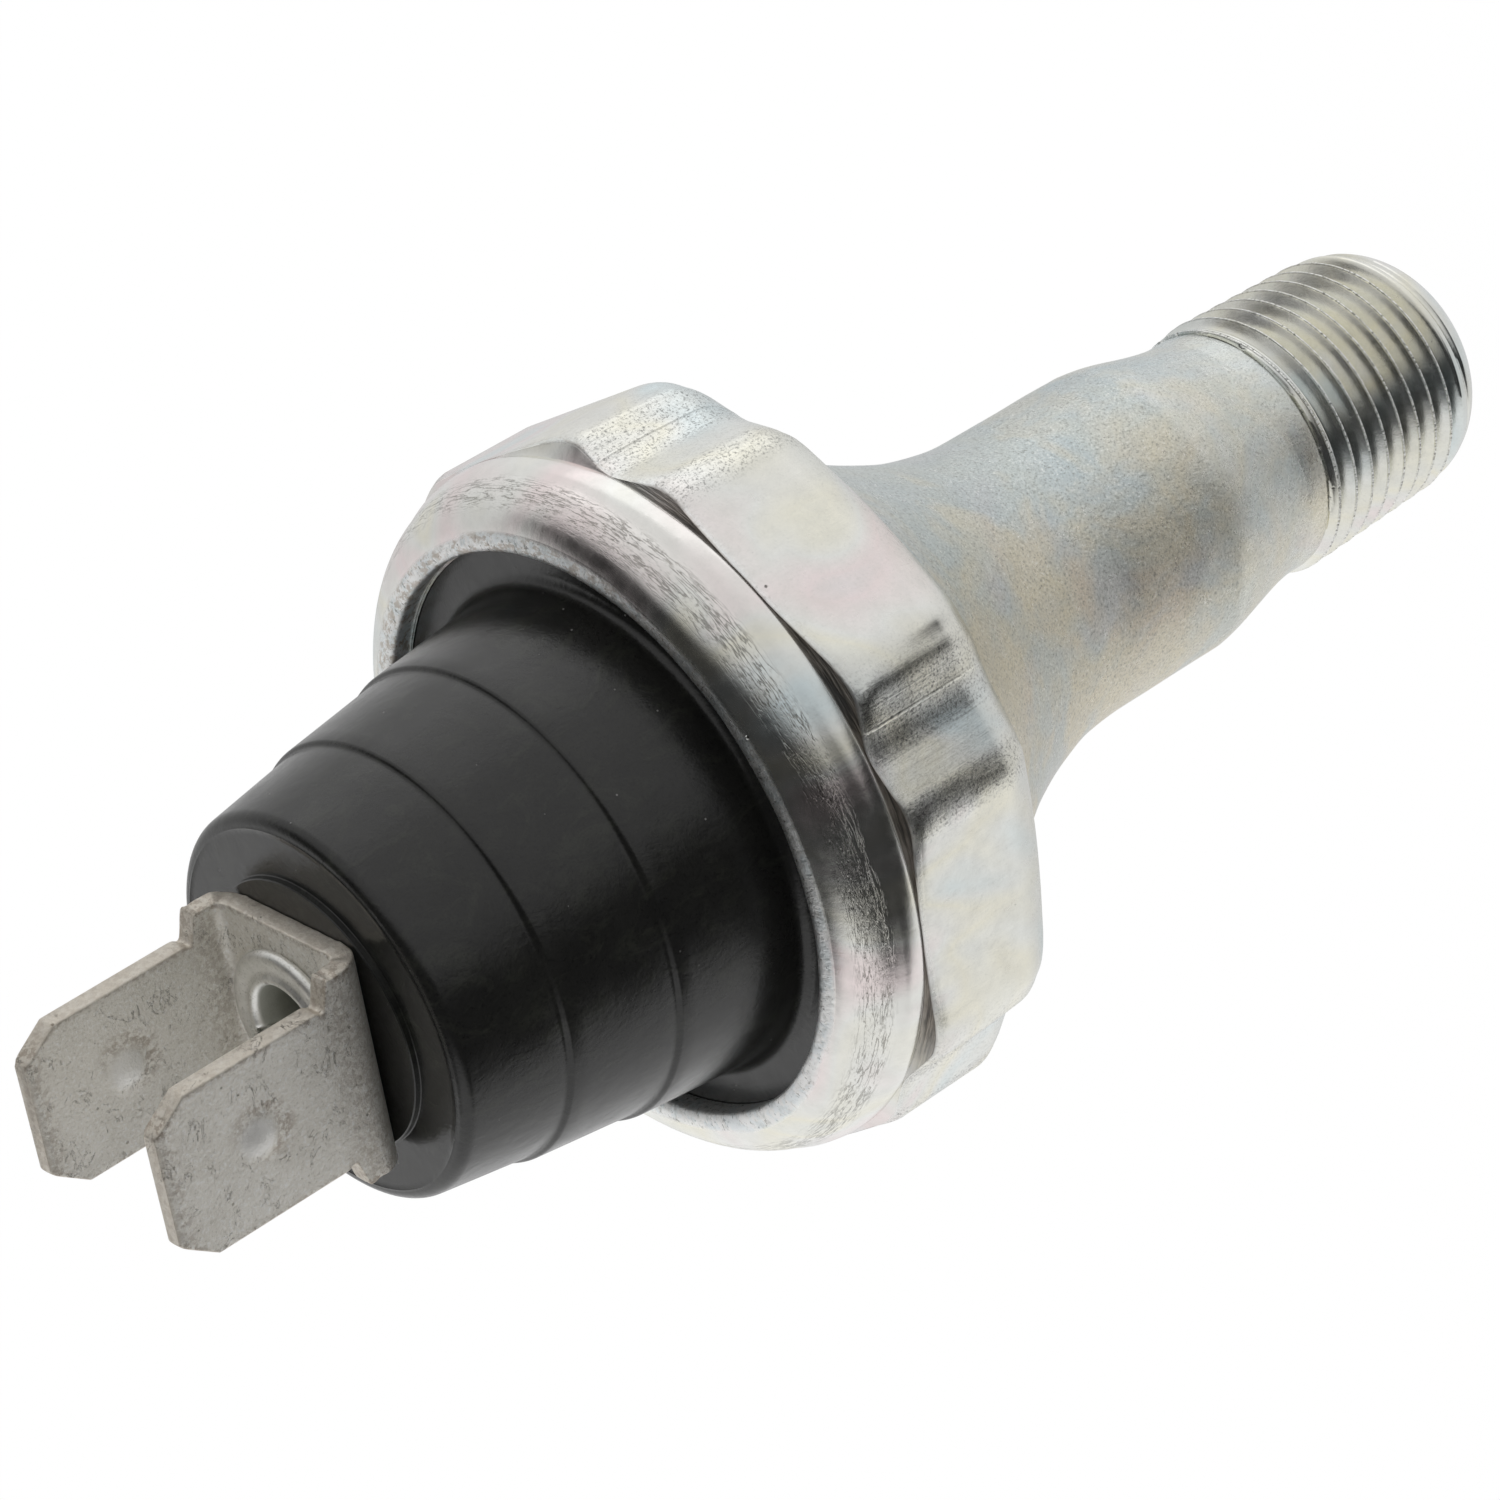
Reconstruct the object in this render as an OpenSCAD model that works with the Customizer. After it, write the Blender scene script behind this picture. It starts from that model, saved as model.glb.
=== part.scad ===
/* [Threaded end] */
// Length of the tapered thread, nose included
thread_len = 9.45; // [8:0.05:12]
// Crest radius of the thread at its free end
thread_r = 4.99; // [4.8:0.01:5.1]
// Growth of the crest radius for each millimetre of length
thread_taper = 0.03125; // [0.02:0.00125:0.04]
// Distance between two crests of the thread
thread_pitch = 0.94; // [0.9:0.01:1.2]
// Depth of the thread's grooves
thread_depth = 0.62; // [0.3:0.02:0.66]
// Width of the grooves' flat bottom
thread_root = 0.1; // [0.05:0.01:0.15]
// Plain length between the last groove and the neck
thread_runout = 0.5; // [0.4:0.05:2]
// How far the flat face at the nose stays inside the crests
nose_in = 1.14; // [0.6:0.02:1.6]
// Radius of the rounding between nose and thread
nose_round = 3; // [2:0.1:4]
// Radius of the bore that carries the pressure
port_r = 2; // [1:0.1:2.6]

/* [Neck and stem] */
// How far the neck stands outside the crests at the free end
neck_rise = 0.03; // [0:0.01:0.3]
// Length of the neck
neck_len = 1.25; // [0.8:0.05:3]
// Length of the shoulder between neck and stem
shoulder_len = 4.4; // [3:0.1:6]
// How far the stem stands outside the neck
stem_rise = 0.88; // [0.4:0.02:1.6]
// Length of the straight part of the stem
stem_len = 5.7; // [3:0.1:12]
// Length of the flare between stem and hexagon
flare_len = 11.8; // [10:0.1:14]
// How far the flare's wide end stays inside the flats
flare_inset = 2; // [1.8:0.05:3]
// How late the flare opens out, as the power of its curve
flare_power = 1.85; // [1.4:0.1:2.6]

/* [Hexagon] */
// Distance across the flats
hex_af = 27.1; // [22:0.1:32]
// Height of the hexagon
hex_len = 7; // [6:0.05:9]
// Turn of the flats away from the blades' faces, in degrees
hex_turn = -2.5; // [-30:0.5:30]
// How far the rounded corners stand outside the flats
corner_rise = 0.66; // [0.5:0.02:1.4]
// How far the bottom of each corner notch stands outside the flats
notch_rise = 0.08; // [0.04:0.02:0.3]
// Slope of each side of the notch, in degrees
notch_slope = 11; // [8:0.5:20]
// Rounding of the hexagon's rear edge
rear_round = 2.45; // [1.5:0.05:2.6]
// Slope of the front face outside the collar, in degrees
front_slope = 34; // [0:1:40]

/* [Crimped collar] */
// Wall of the collar
collar_wall = 1.05; // [0.8:0.05:1.2]
// Height of the collar above the hexagon's face
collar_h = 2.75; // [2.6:0.05:4]
// Inward lean of the collar's wall, in degrees
collar_lean = 14; // [5:1:20]
// Outer bend radius of the crimp
crimp_round = 2.2; // [1.8:0.1:2.3]
// How far the lip reaches in from the bore
lip_reach = 1.45; // [1.2:0.05:1.8]

/* [Chamber] */
// Depth of the chamber below the seal's shoulder
chamber_depth = 1.2; // [1.1:0.1:2]
// Height of the seal's shoulder above the hexagon's rear
seal_rise = 3; // [2.8:0.05:3.6]
// Radial width of the seal ring
seal_w = 1.5; // [1:0.1:1.8]
// Height of the squeezed seal ring
seal_h = 1; // [0.8:0.1:1.2]
// Land between the bore and the seal's groove
bore_land = 1.6; // [1:0.1:2]
// Land between the seal's groove and the pressure chamber
chamber_land = 1.3; // [0.8:0.1:2]
// Thickness of the diaphragm
film_t = 0.25; // [0.15:0.05:0.4]
// Height of the spacer ring
spacer_h = 1.15; // [1.1:0.05:2]
// How far the spacer ring's hole stays outside the chamber
spacer_in = 0.2; // [0:0.05:0.6]

/* [Contacts] */
// Thickness of the earthed contact ring
ring_t = 0.8; // [0.6:0.05:1.2]
// Radius of the plunger's stem
plunger_r = 3; // [2:0.1:4]
// How far the plunger's foot stays inside the chamber
foot_in = 0.4; // [0.2:0.05:1]
// Height left over the foot for its stroke
lift_room = 0.6; // [0.55:0.01:0.7]
// How far the moving contact disc stands outside the coils
disc_edge = 1.7; // [1:0.1:2]
// Thickness of the moving contact disc
disc_t = 0.5; // [0.3:0.05:0.8]
// Height of the boss that centres the spring on the disc
boss_h = 0.7; // [0.4:0.1:1]
// Mean radius of the spring's coils
coil_r = 3.4; // [3:0.1:4]
// Radius of the spring's wire
wire_r = 0.3; // [0.2:0.05:0.4]
// Number of turns of the spring
coil_turns = 6.5; // [5:0.5:8]
// Height of the spring while the contact is made
spring_h = 7.3; // [6.5:0.1:8]

/* [Insulator] */
// Radial room round the contact disc in the cavity
cavity_room = 0.5; // [0.3:0.05:1]
// Rounding between flange and first tier
base_fillet = 0.55; // [0.3:0.05:1]
// Radial gap between the crimp's lip and the foot of the first tier
mouth_gap = 1.65; // [1:0.05:2]
// Height of the first tier above the flange
tier1_h = 5.4; // [4:0.05:6]
// Radial fall of the first tier over its height
tier1_fall = 0.53; // [0.2:0.01:0.8]
// Step between the first tier and the second
tier2_step = 0.13; // [0.05:0.01:0.3]
// Height of the second tier
tier2_h = 4.36; // [3:0.01:6]
// Radial fall of the second tier over its height
tier2_fall = 0.57; // [0.2:0.01:0.8]
// Step between the second tier and the third
tier3_step = 0.15; // [0.05:0.01:0.3]
// Height of the third tier
tier3_h = 4.1; // [3:0.05:6]
// Radial fall of the third tier over its height
tier3_fall = 0.6; // [0.2:0.01:0.8]
// Rounding of the insulator's front edge
front_round = 0.8; // [0.4:0.05:1.2]
// Width of the flat ring round the terminal's low seat
seat_inset = 1.5; // [1:0.05:2]
// Height of the low seat
seat_h = 0.25; // [0.1:0.05:0.4]

/* [Terminal] */
// Thickness of the terminal's sheet
tab_t = 0.8; // [0.6:0.05:1]
// Width of each blade
tab_w = 6.35; // [4.8:0.05:7.6]
// How far the base and the shoulders stand out on each side of the blade
tab_ear = 0.98; // [0.5:0.02:1.1]
// Sideways offset of the blades from the axis
tab_shift = -0.26; // [-0.4:0.02:0.4]
// Height of the blades' tips above the seat
tab_h = 9.55; // [8:0.05:12]
// Height of the shoulders above the bends
tab_shoulder = 0.7; // [0.2:0.05:1.4]
// Inner radius of the bends
bend_in_r = 0.4; // [0.2:0.05:0.4]
// Width of the clipped corner at each tip
clip_w = 1; // [0.4:0.05:1.6]
// Length of the clipped corner at each tip
clip_len = 1.4; // [0.6:0.05:2]
// Distance of the dimples below the tips
dimple_drop = 4.05; // [3:0.05:5]
// Radius of each dimple
dimple_r = 0.8; // [0.4:0.05:1.2]
// Height of each dimple
dimple_h = 0.28; // [0.1:0.02:0.4]

/* [Rivet] */
// Outer radius of the hollow rivet
rivet_r = 2.3; // [1.8:0.05:2.4]
// Wall of the hollow rivet
rivet_wall = 0.4; // [0.25:0.05:0.6]
// How far the rivet's head stands outside the spring's coils
head_edge = 0.7; // [0.4:0.1:1.2]
// Thickness of the rivet's head
rivet_head_t = 0.5; // [0.3:0.05:0.8]
// How far the rolled end stands outside the rivet's tube
roll_out = 0.47; // [0.3:0.01:0.7]
// Height of the rolled end above the terminal
roll_h = 0.5; // [0.35:0.05:0.7]

/* [Clearances] */
// Radial gap between the stacked pieces and the collar's bore
stack_gap = 0.1; // [0.05:0.01:0.2]
// Gap between the insulator's flange and the crimp
crimp_gap = 0.03; // [0.01:0.01:0.06]
// Gap between the rolled end and each blade's inner face
roll_gap = 0.39; // [0.3:0.01:1]
// Radial gap round the moving plunger
slide_gap = 0.08; // [0.05:0.01:0.1]
// Radial gap round the rivet
rivet_gap = 0.05; // [0.02:0.01:0.1]
// Gap on each side of the seal ring
seal_gap = 0.05; // [0.02:0.01:0.15]
// Gap between the spring and its two seats
spring_gap = 0.02; // [0.01:0.01:0.1]

/* [Hidden] */
$fn = 96;
overlap = 1;
arc_step = 6;
curve_steps = 14;

// Heights of the body's stretches, from the threaded end
shoulder_z = thread_len + neck_len;
stem_z = shoulder_z + shoulder_len;
flare_z = stem_z + stem_len;
hex_z = flare_z + flare_len;
collar_z = hex_z + hex_len;
crimp_z = collar_z + collar_h;

// Radii of the body, from the threaded end
neck_r = thread_r + neck_rise;
stem_r = neck_r + stem_rise;
flat_r = hex_af / 2;
flare_r = flat_r - flare_inset;
corner_r = flat_r + corner_rise;
notch_r = flat_r + notch_rise;
bore_r = flat_r - collar_wall;
lip_r = bore_r - lip_reach;

// Stack inside the body, from the bore to the axis
stack_r = bore_r - stack_gap;
seal_r = bore_r - bore_land - seal_w / 2;
chamber_r = seal_r - seal_w / 2 - chamber_land;
spacer_in_r = chamber_r + spacer_in;
foot_r = chamber_r - foot_in;
foot_t = spacer_h - lift_room;
ring_hole_r = plunger_r + slide_gap;
disc_r = coil_r + wire_r + disc_edge;
cavity_r = disc_r + cavity_room;

// Heights of the stack inside the body
film_z = hex_z + seal_rise;
chamber_z = film_z - chamber_depth;
spacer_z = film_z + film_t;
ring_z = spacer_z + spacer_h;
deck_z = ring_z + ring_t;
disc_top_z = deck_z + disc_t;
head_z = disc_top_z + spring_h;
ceiling_z = head_z + rivet_head_t;

// Insulator: radii of the tiers, from the lip's edge, and their heights
tier1_r = lip_r - mouth_gap;
tier1_top_r = tier1_r - tier1_fall;
tier2_r = tier1_top_r - tier2_step;
tier2_top_r = tier2_r - tier2_fall;
tier3_r = tier2_top_r - tier3_step;
tier3_top_r = tier3_r - tier3_fall;
seat_r = tier3_top_r - front_round - seat_inset;
flange_z = crimp_z - collar_wall - crimp_gap;
tier2_z = flange_z + tier1_h;
tier3_z = tier2_z + tier2_h;
face_z = tier3_z + tier3_h;
seat_z = face_z + seat_h;
base_z = seat_z + tab_t;

// Rivet and terminal
rivet_in_r = rivet_r - rivet_wall;
rivet_hole_r = rivet_r + rivet_gap;
rivet_head_r = coil_r + wire_r + head_edge;
roll_r = rivet_r + roll_out;
inner_x = roll_r + roll_gap;
outer_x = inner_x + tab_t;
bend_out_r = bend_in_r + tab_t;
ear_x = tab_w / 2 + tab_ear;

// Centre of the crimp's bend, inside the leaning wall
bend_z = crimp_z - crimp_round;
bend_r = flat_r - (crimp_round + (bend_z - collar_z) * sin(collar_lean)) / cos(collar_lean);

// Points of an arc in a turned outline, as [radius, height]
function arc(c, r, a0, a1) =
    let (n = max(2, ceil(abs(a1 - a0) / arc_step)))
    [for (i = [0 : n]) let (a = a0 + (a1 - a0) * i / n) c + r * [cos(a), sin(a)]];

// Arc of the crimp for one bend radius, from the leaning wall to the lip's edge
function crimp_arc(r) = arc([bend_r, bend_z], r, collar_lean, acos((lip_r - bend_r) / r));

// Radius on the shoulder and on the flare, for a share u of their length
function shoulder_at(u) = neck_r + (stem_r - neck_r) * (u + u * u * (3 - 2 * u)) / 2;
function flare_at(u) = stem_r + (flare_r - stem_r) * pow(u, flare_power);

// Crest radius of the thread at a height
function crest_at(z) = thread_r + thread_taper * z;

// Outside of the turned part, from the nose to the rear of the hexagon
module turned_outside() {
    nose_c = crest_at(0) - nose_round;
    nose_a = acos(1 - nose_in / nose_round);
    rotate_extrude()
        polygon(concat(
            [[0, 0]],
            arc([nose_c, nose_round * sin(nose_a)], nose_round, -nose_a, -2),
            [[crest_at(thread_len - thread_runout), thread_len - thread_runout], [neck_r, thread_len]],
            [for (i = [0 : curve_steps]) let (u = i / curve_steps)
                [shoulder_at(u), shoulder_z + shoulder_len * u]],
            [for (i = [0 : curve_steps]) let (u = i / curve_steps)
                [flare_at(u), flare_z + flare_len * u]],
            [[flare_r, hex_z + overlap], [0, hex_z + overlap]]));
}

// Grooves of the thread, as rings with sides at 60 degrees
module thread_grooves() {
    reach = thread_depth + overlap;
    half = reach * tan(30) + thread_root / 2;
    for (z = [thread_len - thread_runout - thread_pitch / 2 : -thread_pitch : thread_pitch])
        rotate_extrude()
            polygon([
                [crest_at(z) - thread_depth, z - thread_root / 2], [crest_at(z) + overlap, z - half],
                [crest_at(z) + overlap, z + half], [crest_at(z) - thread_depth, z + thread_root / 2]]);
}

// Outline of the hexagon with a shallow notch at each corner
module hex_outline() {
    reach = corner_rise + overlap;
    difference() {
        circle(r = flat_r / cos(30), $fn = 6);
        for (i = [0 : 5])
            rotate(60 * i)
                polygon([[notch_r, 0], [notch_r + reach, reach / tan(notch_slope)],
                         [notch_r + reach, -reach / tan(notch_slope)]]);
    }
}

// Hexagon with its rounded rear edge, rounded corners and falling front face
module hexagon() {
    intersection() {
        translate([0, 0, hex_z]) rotate(hex_turn + 30) linear_extrude(hex_len) hex_outline();
        rotate_extrude()
            polygon(concat(
                [[0, hex_z]],
                arc([flat_r - rear_round, hex_z + rear_round], rear_round, -90, 0),
                [[corner_r, hex_z + rear_round + corner_rise],
                 [corner_r, collar_z - corner_rise * tan(front_slope)], [flat_r, collar_z], [0, collar_z]]));
    }
}

// Collar and lip, solid to the axis
module collar_outside() {
    rotate_extrude()
        polygon(concat(
            [[0, collar_z - overlap], [flat_r, collar_z - overlap], [flat_r, collar_z]],
            crimp_arc(crimp_round),
            [[0, crimp_z]]));
}

// Space inside the body: port, chamber, groove for the seal, bore and mouth
module body_inside() {
    translate([0, 0, -overlap]) cylinder(r = port_r, h = chamber_z + 2 * overlap);
    translate([0, 0, chamber_z]) cylinder(r = chamber_r, h = chamber_depth + overlap);
    difference() {
        translate([0, 0, film_z - seal_h])
            cylinder(r = seal_r + seal_w / 2 + seal_gap, h = seal_h + overlap);
        translate([0, 0, film_z - seal_h - overlap])
            cylinder(r = seal_r - seal_w / 2 - seal_gap, h = seal_h + 3 * overlap);
    }
    translate([0, 0, film_z]) cylinder(r = bore_r, h = collar_z - film_z);
    rotate_extrude()
        polygon(concat(
            [[0, collar_z - overlap], [bore_r, collar_z - overlap], [bore_r, collar_z]],
            crimp_arc(crimp_round - collar_wall),
            [[lip_r, crimp_z + overlap], [0, crimp_z + overlap]]));
}

module body() {
    color([0.78, 0.79, 0.77])
        difference() {
            union() {
                turned_outside();
                hexagon();
                collar_outside();
            }
            thread_grooves();
            body_inside();
        }
}

// Square-shouldered rubber ring, squeezed flush with its groove
module seal_ring() {
    color([0.1, 0.1, 0.1])
        translate([0, 0, film_z - seal_h])
            rotate_extrude()
                translate([seal_r - seal_w / 2, 0]) square([seal_w, seal_h]);
}

module diaphragm() {
    color([0.8, 0.55, 0.2]) translate([0, 0, film_z]) cylinder(r = stack_r, h = film_t);
}

// Flat ring with a hole
module washer(r, hole, h) {
    difference() {
        cylinder(r = r, h = h);
        translate([0, 0, -overlap]) cylinder(r = hole, h = h + 2 * overlap);
    }
}

module spacer_ring() {
    color([0.7, 0.7, 0.7]) translate([0, 0, spacer_z]) washer(stack_r, spacer_in_r, spacer_h);
}

module contact_ring() {
    color([0.8, 0.65, 0.3]) translate([0, 0, ring_z]) washer(stack_r, ring_hole_r, ring_t);
}

// Insulating button: a broad foot on the diaphragm and a stem through the contact ring
module plunger() {
    color([0.85, 0.82, 0.72]) {
        translate([0, 0, spacer_z]) cylinder(r = foot_r, h = foot_t);
        translate([0, 0, spacer_z]) cylinder(r = plunger_r, h = deck_z - spacer_z);
    }
}

module contact_disc() {
    boss_r = coil_r - wire_r - slide_gap;
    color([0.85, 0.8, 0.7]) {
        translate([0, 0, deck_z]) cylinder(r = disc_r, h = disc_t);
        translate([0, 0, deck_z]) cylinder(r = boss_r, h = disc_t + boss_h);
    }
}

// Closed coil spring: the pitch is nil over the last half turn at each end
module spring() {
    sides = 8;
    steps_per_turn = 20;
    n = round(coil_turns * steps_per_turn);
    low = disc_top_z + wire_r + spring_gap;
    rise = spring_h - 2 * wire_r - 2 * spring_gap;
    function share(t) = min(1, max(0, (t - 0.5) / (coil_turns - 1)));
    points = [for (i = [0 : n]) let (t = i / steps_per_turn, a = 360 * t, z = low + rise * share(t))
        for (j = [0 : sides - 1]) let (b = 360 * j / sides, r = coil_r + wire_r * cos(b))
            [r * cos(a), r * sin(a), z + wire_r * sin(b)]];
    walls = [for (i = [0 : n - 1], j = [0 : sides - 1]) let (k = (j + 1) % sides)
        [i * sides + j, i * sides + k, (i + 1) * sides + k, (i + 1) * sides + j]];
    ends = [[for (j = [sides - 1 : -1 : 0]) j], [for (j = [0 : sides - 1]) n * sides + j]];
    color([0.6, 0.62, 0.65]) polyhedron(points, concat(walls, ends));
}

// Moulded insulator: flange under the crimp, three tiers, cavity and rivet hole
module insulator() {
    gap_r = crimp_round - collar_wall - crimp_gap;
    top_c = [tier3_top_r - front_round, face_z - front_round];
    color([0.06, 0.06, 0.06])
        rotate_extrude()
            polygon(concat(
                [[cavity_r, deck_z], [stack_r, deck_z], [stack_r, collar_z]],
                arc([bend_r, bend_z], gap_r, collar_lean, 90),
                arc([tier1_r + base_fillet, flange_z + base_fillet], base_fillet, 270, 180),
                [[tier1_top_r, tier2_z], [tier2_r, tier2_z], [tier2_top_r, tier3_z], [tier3_r, tier3_z]],
                arc(top_c, front_round, 0, 90),
                [[seat_r, face_z], [seat_r, seat_z], [rivet_hole_r, seat_z],
                 [rivet_hole_r, ceiling_z], [cavity_r, ceiling_z]]));
}

// Hollow rivet: head in the cavity, tube through the insulator, end rolled over the terminal
module rivet() {
    roll_c = (rivet_in_r + roll_r) / 2;
    roll_half = (roll_r - rivet_in_r) / 2;
    color([0.85, 0.85, 0.84])
        rotate_extrude()
            polygon(concat(
                [[rivet_in_r, head_z], [rivet_head_r, head_z], [rivet_head_r, ceiling_z],
                 [rivet_r, ceiling_z], [rivet_r, base_z]],
                [for (a = [0 : 10 : 180]) [roll_c + roll_half * cos(a), base_z + roll_h * sin(a)]]));
}

// Side view of the folded sheet: a base and two upright blades
module fold_section() {
    difference() {
        union() {
            translate([-outer_x, bend_out_r]) square([2 * outer_x, tab_h - bend_out_r]);
            translate([-outer_x + bend_out_r, 0]) square([2 * (outer_x - bend_out_r), tab_h]);
            for (s = [-1, 1])
                translate([s * (outer_x - bend_out_r), bend_out_r]) circle(r = bend_out_r);
        }
        translate([-inner_x, bend_out_r]) square([2 * inner_x, tab_h]);
        translate([-inner_x + bend_in_r, tab_t]) square([2 * (inner_x - bend_in_r), tab_h]);
        for (s = [-1, 1])
            translate([s * (inner_x - bend_in_r), bend_out_r]) circle(r = bend_in_r);
    }
}

// Front view of a blade: wide base and shoulders, narrow blade, clipped tip
module blade_outline() {
    shoulder_y = bend_out_r + tab_shoulder;
    half = tab_w / 2;
    polygon([
        [-ear_x, 0], [ear_x, 0], [ear_x, shoulder_y], [half, shoulder_y],
        [half, tab_h - clip_len], [half - clip_w, tab_h],
        [-half + clip_w, tab_h], [-half, tab_h - clip_len],
        [-half, shoulder_y], [-ear_x, shoulder_y]]);
}

// Shallow dome that stands dimple_h proud, with a root below its own base
module dome(root) {
    ball_r = (dimple_r * dimple_r + dimple_h * dimple_h) / (2 * dimple_h);
    rim_a = asin((ball_r - dimple_h) / ball_r);
    rotate([0, 90, 0])
        rotate_extrude()
            polygon(concat(
                [[0, -root], [dimple_r, -root]],
                arc([0, dimple_h - ball_r], ball_r, rim_a, 90)));
}

module terminal() {
    dimple_z = tab_h - dimple_drop;
    root = tab_t / 4;
    color([0.62, 0.6, 0.56])
        translate([0, tab_shift, seat_z])
            difference() {
                union() {
                    intersection() {
                        rotate([90, 0, 0])
                            linear_extrude(2 * ear_x + 2 * overlap, center = true) fold_section();
                        rotate([90, 0, 90])
                            linear_extrude(2 * outer_x + 2 * overlap, center = true) blade_outline();
                    }
                    translate([outer_x, 0, dimple_z]) dome(root);
                    translate([-inner_x, 0, dimple_z]) dome(root);
                }
                translate([inner_x, 0, dimple_z]) dome(root);
                translate([-outer_x, 0, dimple_z]) dome(root);
                translate([0, -tab_shift, -overlap]) cylinder(r = rivet_hole_r, h = tab_t + 2 * overlap);
            }
}

body();
seal_ring();
diaphragm();
spacer_ring();
contact_ring();
plunger();
contact_disc();
spring();
insulator();
rivet();
terminal();
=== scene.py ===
import math

import bmesh
import bpy
import numpy as np
from mathutils import Matrix, Vector


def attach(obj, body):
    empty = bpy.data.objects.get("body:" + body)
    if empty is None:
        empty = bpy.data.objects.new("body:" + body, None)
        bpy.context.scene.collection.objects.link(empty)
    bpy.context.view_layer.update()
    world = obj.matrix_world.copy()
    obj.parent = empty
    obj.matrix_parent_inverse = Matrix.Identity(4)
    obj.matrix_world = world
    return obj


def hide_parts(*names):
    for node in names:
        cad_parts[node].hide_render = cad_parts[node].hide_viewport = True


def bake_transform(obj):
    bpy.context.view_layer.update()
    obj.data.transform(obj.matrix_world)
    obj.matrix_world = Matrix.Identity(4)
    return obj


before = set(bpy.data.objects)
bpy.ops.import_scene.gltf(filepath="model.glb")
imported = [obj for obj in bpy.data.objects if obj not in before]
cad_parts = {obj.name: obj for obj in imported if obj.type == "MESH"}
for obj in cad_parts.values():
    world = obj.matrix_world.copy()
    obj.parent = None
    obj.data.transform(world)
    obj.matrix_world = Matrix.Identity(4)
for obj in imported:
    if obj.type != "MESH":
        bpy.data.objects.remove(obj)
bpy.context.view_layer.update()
rng = np.random.default_rng(7)
MM = 0.001

# ---------------------------------------------------------------- camera
right = Vector((0.6758, -0.1478, -0.7221))
up = Vector((-0.2858, 0.8505, -0.4415))
back = Vector((0.6794, 0.5047, 0.5325))
cam_data = bpy.data.cameras.new("camera")
cam_data.sensor_width = 36.0
cam_data.lens = 136.6
cam_data.clip_start = 0.005
cam_data.clip_end = 20.0
camera = bpy.data.objects.new("camera", cam_data)
rot = Matrix((right, up, back)).transposed().to_4x4()
camera.matrix_world = Matrix.Translation((0.1386, 0.1029, 0.1436)) @ rot
bpy.context.scene.collection.objects.link(camera)
bpy.context.scene.camera = camera


# ---------------------------------------------------------------- node helpers
class Nodes:
    def __init__(self, tree):
        self.tree = tree

    def __call__(self, kind, inputs=None, **props):
        node = self.tree.nodes.new(kind)
        for key, value in props.items():
            setattr(node, key, value)
        for key, value in (inputs or {}).items():
            socket = node.inputs[key]
            if isinstance(value, bpy.types.NodeSocket):
                self.tree.links.new(value, socket)
            else:
                socket.default_value = value
        return node

    def math(self, op, a, b=0.0, c=0.0, clamp=False):
        return self("ShaderNodeMath", {0: a, 1: b, 2: c}, operation=op, use_clamp=clamp).outputs[0]

    def mix(self, fac, a, b, blend="MIX"):
        node = self("ShaderNodeMix", {0: fac, 6: a, 7: b}, data_type="RGBA", blend_type=blend)
        return node.outputs[2]

    def range(self, value, lo, hi, out_lo=0.0, out_hi=1.0, smooth=False):
        return self("ShaderNodeMapRange", {"Value": value, "From Min": lo, "From Max": hi,
                                           "To Min": out_lo, "To Max": out_hi},
                    interpolation_type="SMOOTHSTEP" if smooth else "LINEAR").outputs[0]

    def noise(self, vector, scale, detail=3.0, rough=0.55, distort=0.0):
        return self("ShaderNodeTexNoise", {"Vector": vector, "Scale": scale, "Detail": detail,
                                           "Roughness": rough, "Distortion": distort}).outputs[0]

    def cells(self, vector, scale, random=1.0):
        return self("ShaderNodeTexVoronoi", {"Vector": vector, "Scale": scale,
                                             "Randomness": random}).outputs[0]

    def scaled(self, vector, factors):
        return self("ShaderNodeVectorMath", {0: vector, 1: factors}, operation="MULTIPLY").outputs[0]

    def attribute(self, name):
        return self("ShaderNodeAttribute", attribute_name=name).outputs["Fac"]

    def bump(self, height, distance, strength=1.0, normal=None):
        inputs = {"Height": height, "Distance": distance, "Strength": strength}
        if normal is not None:
            inputs["Normal"] = normal
        return self("ShaderNodeBump", inputs).outputs[0]


def material(name):
    mat = bpy.data.materials.new(name)
    mat.use_nodes = True
    n = Nodes(mat.node_tree)
    mat.node_tree.nodes.clear()
    out = n("ShaderNodeOutputMaterial")
    shader = n("ShaderNodeBsdfPrincipled")
    mat.node_tree.links.new(shader.outputs[0], out.inputs[0])
    coord = n("ShaderNodeTexCoord").outputs["Object"]
    mm = n.scaled(coord, (1000.0, 1000.0, 1000.0))
    return mat, n, shader, mm


def set_inputs(n, shader, **values):
    names = {"color": "Base Color", "metal": "Metallic", "rough": "Roughness", "normal": "Normal",
             "ior": "IOR", "coat": "Coat Weight", "coat_rough": "Coat Roughness",
             "aniso": "Anisotropic", "specular": "Specular IOR Level"}
    for key, value in values.items():
        socket = shader.inputs[names[key]]
        if isinstance(value, bpy.types.NodeSocket):
            n.tree.links.new(value, socket)
        else:
            socket.default_value = value


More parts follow.
